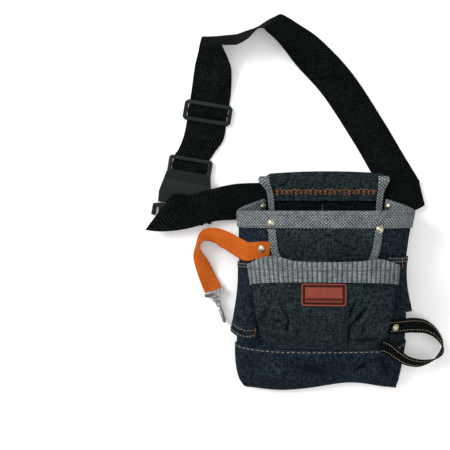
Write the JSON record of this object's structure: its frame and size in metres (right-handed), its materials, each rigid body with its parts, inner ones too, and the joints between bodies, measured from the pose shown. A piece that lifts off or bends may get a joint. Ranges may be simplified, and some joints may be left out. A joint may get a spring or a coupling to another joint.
{
  "type": "tool pouch",
  "caption": "Denim tool pouch with bound rim, front pocket, side sleeves, hammer loop, lanyard with snap hook and webbing belt, lying on its back.",
  "frame": {"origin": "on the outer face of the back panel, on the surface that the pouch lies on, in the middle of the pouch's width", "axes": "+X to the right as the pouch is seen from its front, +Y from its bottom to its belt, +Z out of its back toward its front"},
  "size_m": [0.4125, 0.5218, 0.1048],
  "materials": {
    "green_cloth": "matt plain weave",
    "denim": "matt twill",
    "grey_tape": "herringbone tape",
    "grey_rib": "ribbed tape",
    "black_webbing": "ribbed webbing",
    "orange_webbing": "ribbed webbing",
    "red_patch": "pressed patch",
    "rivet_brass": "polished dome",
    "dark_plastic": "satin moulded",
    "hook_steel": "nickel plated"
  },
  "bodies": {
    "pouch": {"back_panel": "green_cloth", "inner_pocket": "green_cloth", "back_binding_left": "grey_tape", "back_binding_right": "grey_tape", "main_wall": "denim", "rim_binding": "grey_tape", "bottom_band": "denim", "pocket_back": "green_cloth", "pocket_binding_left": "grey_tape", "pocket_binding_right": "grey_tape", "pocket_wall": "green_cloth", "pocket_band": "grey_rib", "label_patch": "red_patch", "side_sleeve_left": "denim", "side_sleeve_right": "denim", "hammer_loop": "black_webbing", "lanyard_strap": "orange_webbing", "belt": "black_webbing", "rivet_back_left": "rivet_brass", "rivet_back_right": "rivet_brass", "rivet_front_left": "rivet_brass", "rivet_front_right": "rivet_brass", "rivet_lanyard": "rivet_brass", "rivet_loop": "rivet_brass", "belt_slider": "dark_plastic", "buckle_female": "dark_plastic", "buckle_male": "dark_plastic", "lanyard_crimp": "hook_steel"},
    "hook": {"hook_body": "hook_steel"},
    "gate": {"hook_gate": "hook_steel"}
  },
  "joints": [
    {"name": "hook_swivel", "type": "hinge", "parent": "pouch", "child": "hook", "pos_m": [-0.1544, -0.0084, 0.0084], "axis": [0.342, -0.9397, 0], "continuous": true},
    {"name": "gate_swing", "type": "hinge", "parent": "hook", "child": "gate", "pos_m": [-0.14619, -0.03095, 0.0128], "axis": [0.9397, 0.342, 0], "range_deg": [0, 22], "stiffness_Nm_per_rad": 0.02, "springref_deg": -11.46}
  ]
}
